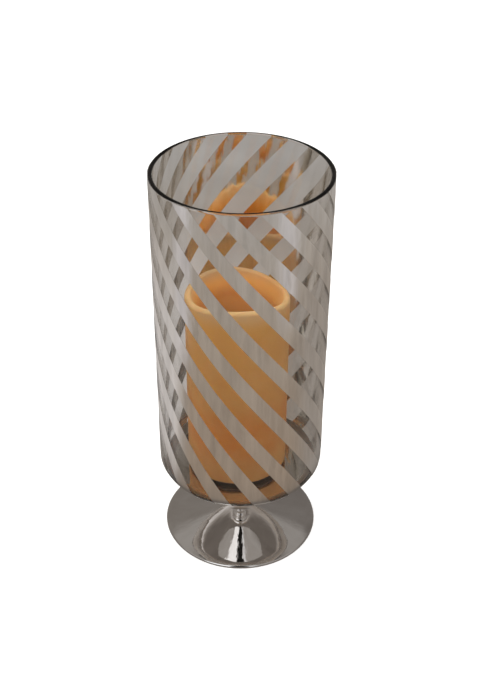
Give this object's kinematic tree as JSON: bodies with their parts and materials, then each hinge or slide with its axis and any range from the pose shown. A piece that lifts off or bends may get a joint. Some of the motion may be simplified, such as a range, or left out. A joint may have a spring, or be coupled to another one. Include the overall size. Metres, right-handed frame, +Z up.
{
  "type": "hurricane candle lantern",
  "caption": "Footed glass hurricane with spiral mirror-silver stripes and a lift-out flameless pillar candle with a recessed LED, base switch and twist battery cover.",
  "frame": {"origin": "centre of the circle on which the foot rests, on the table plane", "axes": "+Z up along the glass axis, -Y towards the front, +X to the right seen from the front"},
  "size_m": [0.1272, 0.1272, 0.3145],
  "materials": {
    "clear_glass": "fire-polished clear glass with a faint smoke tint",
    "stripe_silver": "mirror silvering fused on the glass",
    "pedestal_silver": "mirror silvering over smooth glass",
    "ivory_wax": "paraffin wax, amber ivory, softly glowing from inside",
    "brown_plastic": "fine moulded texture",
    "contact_nickel": "nickel plate",
    "cell_can": "satin can",
    "red_insulation": "soft wire insulation",
    "black_insulation": "soft wire insulation",
    "board_laminate": "solder mask",
    "screw_steel": "zinc plate",
    "chip_plastic": "moulded epoxy",
    "resistor_body": "lacquered",
    "knob_plastic": "moulded",
    "amber_led": "clear amber lens"
  },
  "bodies": {
    "lantern": {"glass_cylinder": "clear_glass", "silver_stripes": "stripe_silver", "base_mirror": "stripe_silver", "stem": "pedestal_silver", "foot": "pedestal_silver"},
    "candle": {"wax_shell": "ivory_wax", "base_housing": "brown_plastic", "battery_holder": "brown_plastic", "batteries": "cell_can", "contact_springs": "contact_nickel", "contact_plates": "contact_nickel", "battery_wires": "red_insulation", "circuit_board": "board_laminate", "board_screws": "screw_steel", "timer_chip": "chip_plastic", "capacitor": "cell_can", "resistor": "resistor_body", "switch_body": "chip_plastic", "switch_wires": "black_insulation", "core_cap": "brown_plastic", "core_screws": "screw_steel", "flame_led": "amber_led", "led_leads": "contact_nickel"},
    "cover": {"battery_cover": "brown_plastic", "cover_bridge": "contact_nickel"},
    "knob": {"switch_knob": "knob_plastic"}
  },
  "joints": [
    {"name": "candle_lift", "type": "slide", "parent": "lantern", "child": "candle", "axis": [0, 0, 1], "range_m": [0, 0.26]},
    {"name": "cover_twist", "type": "hinge", "parent": "candle", "child": "cover", "pos_m": [-0.0028, 0.003, 0.068], "axis": [0, 0, -1], "range_deg": [0, 40]},
    {"name": "switch_slide", "type": "slide", "parent": "candle", "child": "knob", "axis": [1, 0, 0], "range_m": [-0.002, 0.002]}
  ]
}
